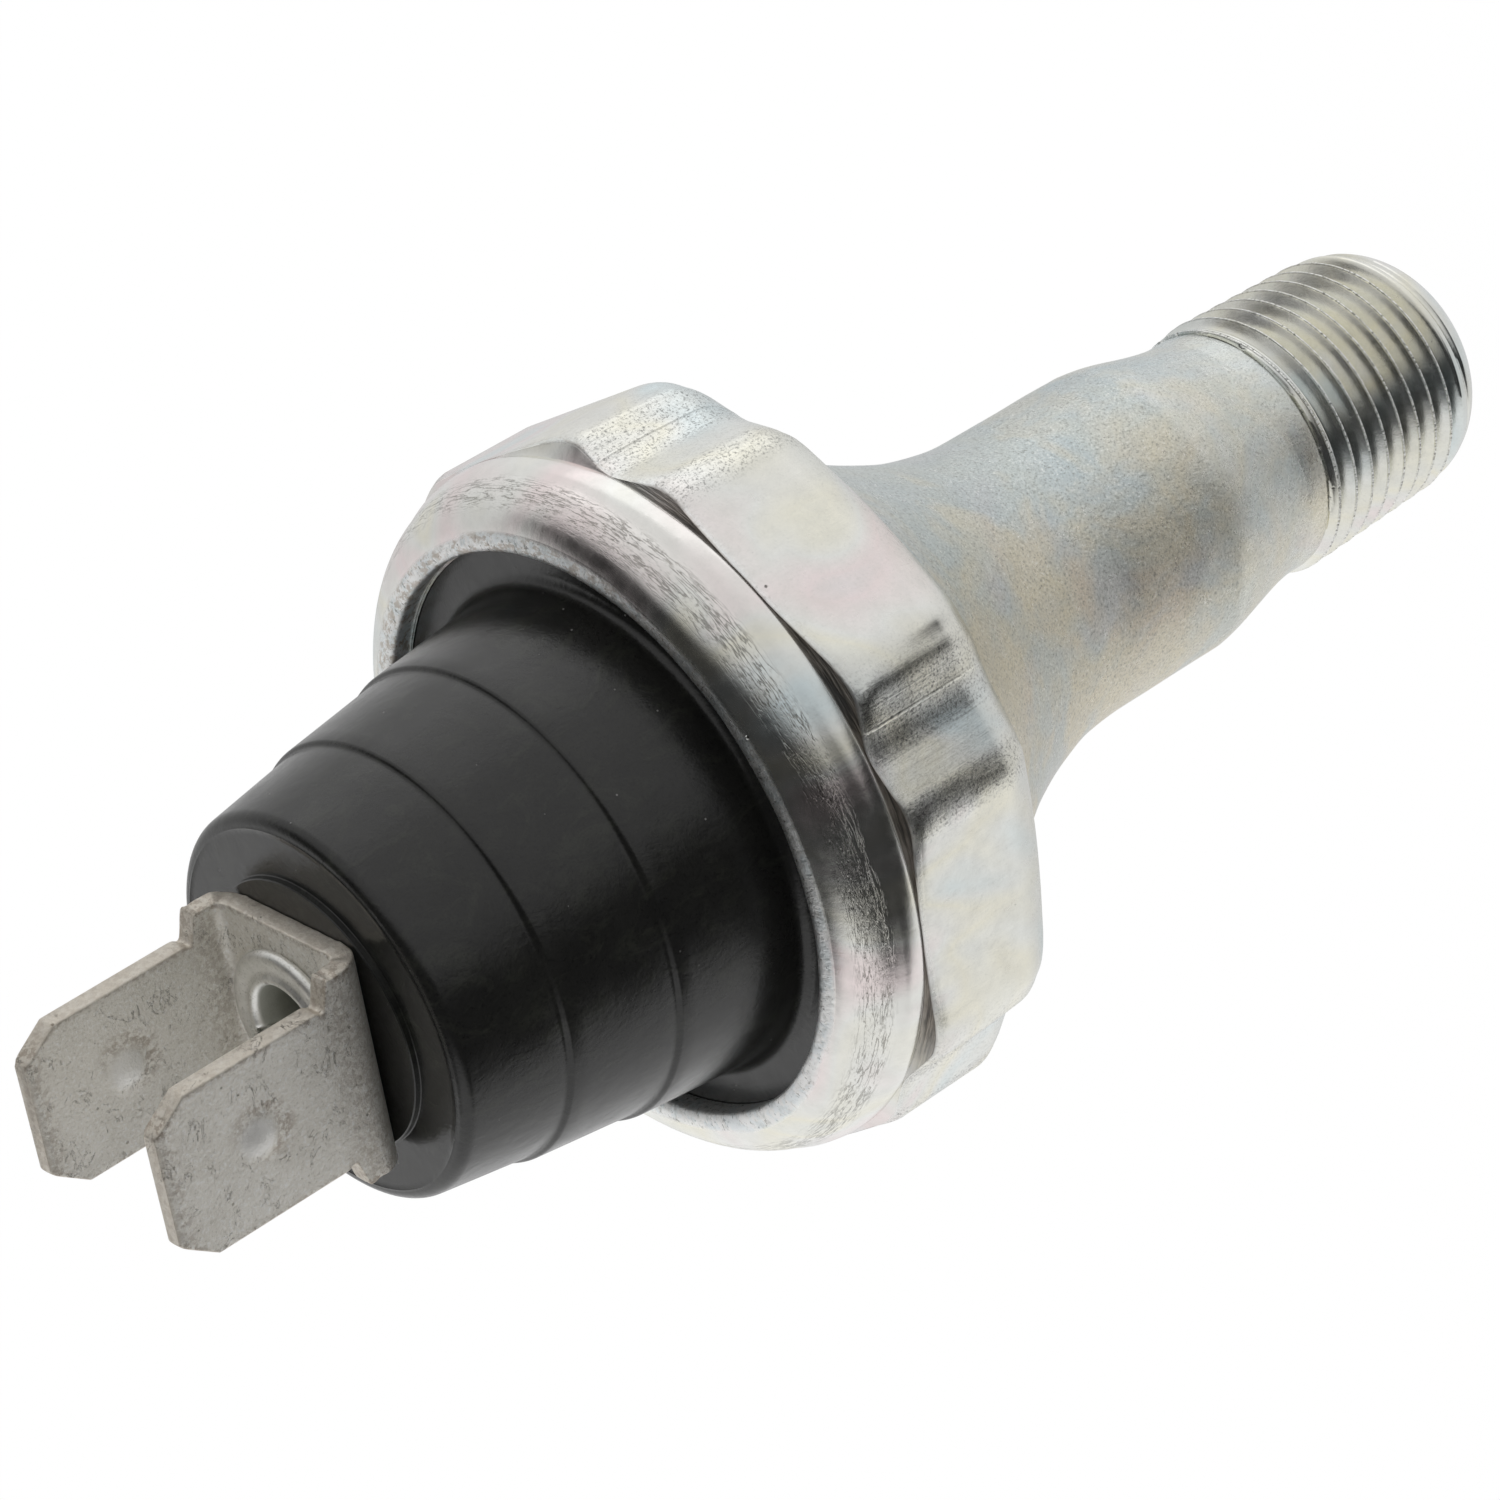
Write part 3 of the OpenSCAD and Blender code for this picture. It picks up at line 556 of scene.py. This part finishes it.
    # the front face is painted dark on the near side, a painted reflection and shade; plated on the far side
    near_side_shade = smooth_step(np.cos(theta - math.radians(25)), 0.42, 0.75)
    edge_r = slot_r - 0.23 * bulge
    row(edge_r, top + burr * 0.8, brown=0.6 * near_side_shade, ragged=0.3)
    for t in (0.05, 0.15, 0.4, 0.7):
        r = edge_r + (13.53 - edge_r) * t
        row(r, top + (39.58 - top) * t, brown=near_side_shade, arc=60 - 1.2 * r)
    row(13.53, 39.60, brown=0.9 * near_side_shade, arc=43.7)
    # collar, crimp and lip
    collar = [(13.56, 39.70), (13.55, 39.95), (13.49, 40.25)]
    bend = arc_pts((11.146, 40.15), 2.2, 16, 82, 18)
    lip = [(11.30, 42.325), (11.14, 42.28), (11.06, 42.20), (11.04, 42.08), (11.05, 41.8), (11.08, 41.5), (11.12, 41.31)]
    line = resample(collar + bend + lip, 0.2)
    lengths = arc_length(line)
    slack = wave_noise(theta, 51, 8, 2)
    fringe = wave_noise(theta, 52, 40, 15)
    for (r, z), s in zip(line, lengths):
        wrinkle = float(smooth_step(s, 1.0, 1.3) * (1 - smooth_step(s, 2.0, 2.7)))
        rag_edge = smooth_step(11.84 + 0.22 * slack + 0.14 * fringe - r, 0.0, 0.16) if z > 41 and s > 2 else 0 * slack
        over_lip = float(smooth_step(s, 3.2, 3.5)) * (z > 41.9)
        row(r + 0.008 * slack * (s > 1) - 0.05 * fringe * over_lip, z + 0.010 * slack * (s > 2),
            arc=39.6 + s, wrinkle=wrinkle, ragged=rag_edge, flat=0.3)
    rows = np.array(rows)
    shells.add(rows, **{k: np.array(v) for k, v in att.items()})

    # inside: under the lip, bore, seal groove, chamber and pressure port
    theta = np.linspace(0, 2 * math.pi, 96, endpoint=False)
    inner = [(11.12, 41.31)] + arc_pts((11.146, 40.15), 1.15, 88, 14, 8) + [
        (12.5, 39.6), (12.5, 35.6), (10.9, 35.6), (10.9, 34.6), (9.3, 34.6), (9.3, 35.6), (8.0, 35.6), (8.0, 34.4),
        (2.0, 34.4), (2.0, 20.0), (2.0, 8.0), (2.0, 2.0), (2.0, 0.25)]
    shells.add(turn_rows(inner, theta), sand=0.3)
    return shells


shells = body_shells()
body = add_object("switch_body", shells.verts, shells.faces, shells.att, "housing", ("body",),
                  (zinc,), smooth_angle=50)

# ---------------------------------------------------------------- insulator
def insulator_shells():
    shells = Shells(["edge"])
    theta = np.linspace(0, 2 * math.pi, 256, endpoint=False)
    fl = 41.27
    outline = [(5.9, 37.8), (12.35, 37.8), (12.4, 37.85), (12.4, 38.6)]
    outline += arc_pts((11.146, 40.15), 1.12, 14, 90, 8)
    outline += [(10.4, fl)]
    outline += arc_pts((9.95, fl + 0.55), 0.55, 270, 184, 10)
    t2, t3, face, seat = fl + 5.4, fl + 9.76, fl + 13.86, fl + 14.11
    outline += [(9.37, fl + 0.8), (8.90, t2 - 0.12), (8.87, t2 - 0.05), (8.81, t2 - 0.01), (8.75, t2 + 0.03),
                (8.72, t2 + 0.10), (8.715, t2 + 0.20)]
    outline += [(8.19, t3 - 0.12), (8.16, t3 - 0.05), (8.10, t3 - 0.01), (8.035, t3 + 0.03), (8.00, t3 + 0.10),
                (7.995, t3 + 0.20)]
    outline += [(7.475, face - 0.58)] + arc_pts((6.955, face - 0.50), 0.50, 7, 88, 11)
    outline += [(6.93, face + 0.02), (6.89, face - 0.005), (6.7, face)]
    outline += [(5.19, face), (5.16, face + 0.03), (5.14, seat - 0.04), (5.10, seat), (2.35, seat), (2.35, 46.1), (5.9, 46.1), (5.9, 37.8)]
    line = resample(outline, 0.6)
    shells.add(turn_rows(line, theta))
    return shells


shells = insulator_shells()
insulator = add_object("insulator_moulding", shells.verts, shells.faces, {}, "housing", ("insulator",),
                       (phenolic,), smooth_angle=38)

# ---------------------------------------------------------------- rivet
def rivet_shells():
    shells = Shells(["inside"])
    theta = np.linspace(0, 2 * math.pi, 144, endpoint=False)
    base = 56.18
    outline = [(1.9, 45.6), (4.35, 45.6), (4.4, 45.65), (4.4, 46.05), (4.35, 46.1), (2.3, 46.1), (2.3, base)]
    # the rolled end: a wide dull flange, then a raised inner rim turned back into the bore
    outer = [(2.86, base + 0.01), (2.94, base + 0.07), (2.97, base + 0.17), (2.95, base + 0.28), (2.87, base + 0.38),
             (2.74, base + 0.43), (2.58, base + 0.43), (2.40, base + 0.38), (2.24, base + 0.34), (2.12, base + 0.37),
             (2.03, base + 0.45), (1.92, base + 0.48), (1.80, base + 0.44), (1.71, base + 0.32), (1.66, base + 0.05),
             (1.66, base - 0.5), (1.78, base - 1.1), (1.9, base - 1.5)]
    line = resample(outline + outer, 0.25) + [(1.9, 52.0), (1.9, 45.6)]
    rows = turn_rows(line, theta)
    inside = [float(r < 1.95 and z < base + 0.25) for r, z in line]
    # small splits in the inner rim
    lift = np.clip((rows[..., 2] - (base - 0.4)) / 0.5, 0, 1)
    radius = np.hypot(rows[..., 0], rows[..., 1])
    for centre, width in ((-2.75, 0.10), (-1.0, 0.07), (0.6, 0.08), (1.9, 0.06)):
        gap = np.abs((theta - centre + math.pi) % (2 * math.pi) - math.pi)
        cut = np.clip(1 - gap / width, 0, 1)[None, :] * lift * (radius < 2.1)
        rows[..., 2] -= 0.30 * cut
        rows[..., :2] *= 1 + 0.10 * cut[..., None]
    shells.add(rows, inside=np.array(inside))
    return shells


shells = rivet_shells()
rivet = add_object("hollow_rivet", shells.verts, shells.faces, shells.att, "housing", ("rivet",),
                   (rivet_tin,), smooth_angle=45)


# ---------------------------------------------------------------- terminal
def terminal_piece():
    t, half, bend_in, seat, height = 0.8, 3.96, 0.4, 55.38, 9.55
    mid_r = bend_in + t / 2
    straight = height - t - bend_in
    quarter = mid_r * math.pi / 2
    base_half = half - t - bend_in
    # path of the sheet's middle: blade at +x from its tip, bend, base, bend, blade at -x
    total = 2 * (straight + quarter + base_half)

    def frame_at(u):
        mirror = 1.0
        if u > total / 2:
            u, mirror = total - u, -1.0
        if u < straight:
            pos, nrm = (half - t / 2, seat + height - u), (1.0, 0.0)
        elif u < straight + quarter:
            a = (u - straight) / mid_r
            cx, cz = half - t - bend_in, seat + t + bend_in
            pos = (cx + mid_r * math.cos(a), cz - mid_r * math.sin(a))
            nrm = (math.cos(a), -math.sin(a))
        else:
            pos, nrm = (total / 2 - u, seat + t / 2), (0.0, -1.0)
        return (pos[0] * mirror, pos[1]), (nrm[0] * mirror, nrm[1])

    blade_w, base_w, clip_w, clip_l = 3.175, 4.15, 1.0, 1.4
    shoulder_u = height - 1.9

    def half_width(u, side):
        v = min(u, total - u)
        ear = 0.05 * math.sin(5.1 * u + side) + 0.03 * math.sin(11.3 * u + 2 * side)
        if v < clip_l:
            return blade_w - clip_w * (1 - v / clip_l)
        step = float(smooth_step(v, shoulder_u - 0.28, shoulder_u + 0.12))
        nick = -0.12 * math.exp(-((v - shoulder_u + 0.38) / 0.16) ** 2)
        return blade_w + (base_w - blade_w) * step + nick + ear * step * (0.6 if v < shoulder_u + 2.2 else 0.15)

    us = [0.0, 0.05, 0.14, 0.3, 0.5, 0.8, 1.1, clip_l - 0.03, clip_l + 0.03]
    us += list(np.arange(1.6, shoulder_u - 0.6, 0.16))
    us += list(np.arange(shoulder_u - 0.6, shoulder_u + 0.5, 0.06))
    us += list(np.arange(shoulder_u + 0.5, total / 2, 0.14))
    us = np.array(us)
    us = np.concatenate([us, total - us[::-1]])
    across = 44
    round_e = 0.09
    rings, edge, stain, rubbed = [], [], [], []
    for u in us:
        (px, pz), (nx, nz) = frame_at(u)
        tip = min(u, total - u)
        thick = t / 2 * (0.72 + 0.28 * float(smooth_step(tip, 0.0, 0.22)))
        inset = 0.05 * (1 - float(smooth_step(tip, 0.0, 0.1)))
        wa, wb = half_width(u, 0.0) - inset, half_width(u, 1.7) - inset
        pts = []
        for k in range(across):
            y = -wa + round_e + (wa + wb - 2 * round_e) * k / (across - 1)
            pts.append((y, thick, 0.0))
        for a in (30, 60, 90):
            c, s = math.cos(math.radians(90 - a)), math.sin(math.radians(90 - a))
            pts.append((wb - round_e + round_e * c, thick - round_e + round_e * s, 1.0))
        pts.append((wb + 0.01, 0.0, 1.0))
        for a in (0, 30, 60):
            c, s = math.cos(math.radians(a)), math.sin(math.radians(a))
            pts.append((wb - round_e + round_e * c, -thick + round_e - round_e * s, 1.0))
        for k in range(across):
            y = wb - round_e - (wa + wb - 2 * round_e) * k / (across - 1)
            pts.append((y, -thick, 0.0))
        for a in (30, 60, 90):
            c, s = math.cos(math.radians(90 - a)), math.sin(math.radians(90 - a))
            pts.append((-wa + round_e - round_e * c, -thick + round_e - round_e * s, 1.0))
        pts.append((-wa - 0.01, 0.0, 1.0))
        for a in (0, 30, 60):
            c, s = math.cos(math.radians(a)), math.sin(math.radians(a))
            pts.append((-wa + round_e - round_e * c, thick - round_e + round_e * s, 1.0))
        ring = []
        for y, off, e in pts:
            v = tip
            near = u < total / 2
            d = math.hypot(y, v - (3.95 if near else 3.8))
            bump = 0.10 * (1 + math.cos(math.pi * min(1.0, d / 1.0))) * (1 if near else -1)
            lift = off + bump
            ring.append((px + nx * lift, y - 0.26, pz + nz * lift))
            edge.append(max(e, 1.0 - float(smooth_step(tip, 0.0, 0.12))))
            # bright spot on each dimple: partly wear, partly a painted highlight
            rubbed.append(1.0 - float(smooth_step(math.hypot(y - 0.12, v - 3.75), 0.5, 0.85)))
            around = 1.6 * math.exp(-((d - 1.15) / 0.32) ** 2) * max(0.0, min(1.0, 0.5 + 0.6 * y + 0.4 * (v - 3.95)))
            # painted shade: a dark crescent inside one side of each dimple
            around += 2.0 * math.exp(-((d - 0.8) / 0.2) ** 2) * max(0.0, min(1.0, 0.7 * (v - 3.95) - 0.6 * y))
            at_bend = 0.55 * math.exp(-((v - straight) / 0.7) ** 2) + 0.35 * math.exp(-((v - shoulder_u) / 0.5) ** 2)
            at_tip = 0.5 * math.exp(-((v - 0.35) / 0.35) ** 2)
            rim = 0.8 * math.exp(-((abs(y) - half_width(u, 0.0)) / 0.16) ** 2) * (1 - 0.7 * e)
            stain.append(min(1.0, 0.45 * around + 0.6 * at_bend + at_tip + rim))
        rings.append(ring)
    rows = np.array(rings)
    shells = Shells(["edge", "stain", "rubbed"])
    count, turn = rows.shape[:2]
    shells.add(rows, flip=True, cap_first=True, cap_last=True, edge=np.array(edge).reshape(count, turn),
               stain=np.array(stain).reshape(count, turn), rubbed=np.array(rubbed).reshape(count, turn))
    return shells


shells = terminal_piece()
terminal = add_object("blade_terminal", shells.verts, shells.faces, shells.att, "housing", ("terminal",),
                      (tin,), smooth_angle=40)
# hole for the rivet
ring = Shells(["edge", "stain"])
theta = np.linspace(0, 2 * math.pi, 96, endpoint=False)
ring.add(turn_rows([(2.33, 54.9), (2.33, 56.6)], theta), cap_first=True, cap_last=True)
cutter_mesh = bpy.data.meshes.new("cutter")
cutter_mesh.from_pydata([tuple(v) for v in ring.verts], [], ring.faces)
cutter = bpy.data.objects.new("cutter", cutter_mesh)
bpy.context.scene.collection.objects.link(cutter)
mod = terminal.modifiers.new("hole", "BOOLEAN")
mod.operation = "DIFFERENCE"
mod.solver = "EXACT"
mod.object = cutter
bpy.context.view_layer.objects.active = terminal
with bpy.context.temp_override(object=terminal, active_object=terminal):
    bpy.ops.object.modifier_apply(modifier="hole")
bpy.data.objects.remove(cutter)

# ---------------------------------------------------------------- spring
SPRING_R, WIRE_R, SPRING_TURNS, SPRING_LOW, SPRING_RISE = 3.4, 0.3, 6.5, 38.60, 6.66


def spring_shells():
    """Closed coil spring: the pitch is nil over the last half turn at each end."""
    shells = Shells([])
    turns = np.linspace(0, SPRING_TURNS, round(SPRING_TURNS * 48) + 1)[:, None]
    height = SPRING_LOW + SPRING_RISE * np.clip((turns - 0.5) / (SPRING_TURNS - 1), 0, 1)
    side = np.linspace(0, 2 * math.pi, 12, endpoint=False)[None, :]
    radius, angle = SPRING_R + WIRE_R * np.cos(side), 2 * math.pi * turns
    rows = np.stack([radius * np.cos(angle), radius * np.sin(angle), height + WIRE_R * np.sin(side)], -1)
    shells.add(rows, flip=True, cap_first=True, cap_last=True)
    return shells


shells = spring_shells()
spring = add_object("contact_spring", shells.verts, shells.faces, {}, None, ("spring",),
                    (metal_material("spring_steel_look", (0.45, 0.45, 0.46), (0.66, 0.66, 0.66), 0.22, 0.35, 2.5),),
                    smooth_angle=50)
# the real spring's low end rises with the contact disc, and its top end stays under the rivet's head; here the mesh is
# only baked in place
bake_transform(spring)

# ---------------------------------------------------------------- hidden pieces keep their CAD shape
finishes = {
    "seal_ring": soft_material("seal_rubber_look", (0.015, 0.015, 0.015), (0.03, 0.03, 0.03), 0.5, 0.7, 2.0),
    "diaphragm": soft_material("film_look", (0.45, 0.22, 0.04), (0.6, 0.33, 0.08), 0.2, 0.3, 0.6, 0.004),
    "spacer_ring": metal_material("plain_steel_look", (0.50, 0.50, 0.49), (0.66, 0.66, 0.65), 0.25, 0.4, 1.0),
    "contact_ring": metal_material("contact_brass_look", (0.66, 0.47, 0.20), (0.80, 0.62, 0.30), 0.2, 0.35, 1.0),
    "plunger": soft_material("plunger_look", (0.70, 0.66, 0.54), (0.80, 0.77, 0.66), 0.35, 0.5, 1.0),
    "contact_disc": metal_material("disc_brass_look", (0.68, 0.50, 0.24), (0.82, 0.66, 0.36), 0.2, 0.35, 1.2),
}
for node_name, finish in finishes.items():
    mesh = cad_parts[node_name].data
    mesh.materials.clear()
    mesh.materials.append(finish)

# ---------------------------------------------------------------- floor
floor_mesh = bpy.data.meshes.new("floor")
floor_mesh.from_pydata([(-3, -3, -0.0002), (3, -3, -0.0002), (3, 3, -0.0002), (-3, 3, -0.0002)], [], [(0, 1, 2, 3)])
floor = bpy.data.objects.new("floor", floor_mesh)
bpy.context.scene.collection.objects.link(floor)
floor_mat = bpy.data.materials.new("pale_floor")
floor_mat.use_nodes = True
fn = Nodes(floor_mat.node_tree)
floor_mat.node_tree.nodes.clear()
path = fn("ShaderNodeLightPath")
diffuse = fn("ShaderNodeBsdfDiffuse", {"Color": (0.9, 0.9, 0.9, 1)})
glow = fn("ShaderNodeEmission", {"Color": (1, 1, 1, 1), "Strength": 1.02})
blend = fn("ShaderNodeMixShader", {0: fn.math("MULTIPLY", path.outputs["Is Camera Ray"], 0.97), 1: diffuse.outputs[0], 2: glow.outputs[0]})
floor_out = fn("ShaderNodeOutputMaterial", {0: blend.outputs[0]})
floor_mesh.materials.append(floor_mat)
floor.visible_glossy = False

# ---------------------------------------------------------------- world: a white studio with dark openings
world = bpy.data.worlds.new("studio")
bpy.context.scene.world = world
world.use_nodes = True
wn = Nodes(world.node_tree)
world.node_tree.nodes.clear()
direction = wn("ShaderNodeTexCoord").outputs["Generated"]


def along(vec):
    return wn("ShaderNodeVectorMath", {0: direction, 1: tuple(vec)}, operation="DOT_PRODUCT").outputs["Value"]


# angles round the studio, seen from the lens: turn to the right, and tilt up
turn_deg = wn.math("MULTIPLY", wn.math("ARCTAN2", along(right), along(back)), 180 / math.pi)
tilt_deg = wn.math("MULTIPLY", wn.math("ARCSINE", wn.math("MINIMUM", wn.math("MAXIMUM", along(up), -1.0), 1.0)),
                   180 / math.pi)
# the dark opening on the photographer's side, below the lens, higher at its two ends
right_end = wn.math("MULTIPLY", wn.range(turn_deg, 42, 66, 0, 1, True), 25)
left_end = wn.math("MULTIPLY", wn.range(turn_deg, -56, -74, 0, 1, True), 20)
upper = wn.math("SUBTRACT", tilt_deg, wn.math("ADD", right_end, left_end))
dark = wn.range(upper, 12, -12, 0, 1, True)
dark = wn.math("MULTIPLY", dark, wn.range(tilt_deg, -64, -50, 0, 1, True))
dark = wn.math("MULTIPLY", dark, wn.range(turn_deg, -103, -88, 0, 1, True))
dark = wn.math("MULTIPLY", dark, wn.range(turn_deg, 94, 78, 0, 1, True))
# the white tent, a little brighter overhead, underneath and behind
tent = wn.math("ADD", wn.range(tilt_deg, 12, 62, 0.62, 0.86), wn.range(along(back), 0.1, -0.9, 0.0, 0.10))
tent = wn.math("ADD", tent, wn.range(tilt_deg, 0, -26, 0.0, 0.24))
value = wn.math("MULTIPLY", tent, wn.math("SUBTRACT", 1.0, wn.math("MULTIPLY", dark, 0.955)))
light_path = wn("ShaderNodeLightPath")
seen = wn.math("MAXIMUM", light_path.outputs["Is Camera Ray"], light_path.outputs["Is Transmission Ray"])
strength = wn("ShaderNodeMix", {0: seen, 2: value, 3: 1.0}, data_type="FLOAT").outputs[0]
background = wn("ShaderNodeBackground", {"Color": (1, 1, 1, 1), "Strength": strength})
wn("ShaderNodeOutputWorld", {0: background.outputs[0]})


def area_light(name, r, u, b, distance, size, energy):
    data = bpy.data.lights.new(name, "AREA")
    data.shape = "RECTANGLE"
    data.size, data.size_y = size
    data.energy = energy
    obj = bpy.data.objects.new(name, data)
    target = Vector((0, 0, 0.034))
    spot = target + (right * r + up * u + back * b).normalized() * distance
    obj.matrix_world = Matrix.Translation(spot) @ (spot - target).to_track_quat("Z", "Y").to_matrix().to_4x4()
    bpy.context.scene.collection.objects.link(obj)
    return obj


area_light("key", -0.1, 1.0, -0.1, 0.6, (0.5, 0.5), 0.25)

# ---------------------------------------------------------------- view
bpy.context.scene.view_settings.view_transform = "Standard"
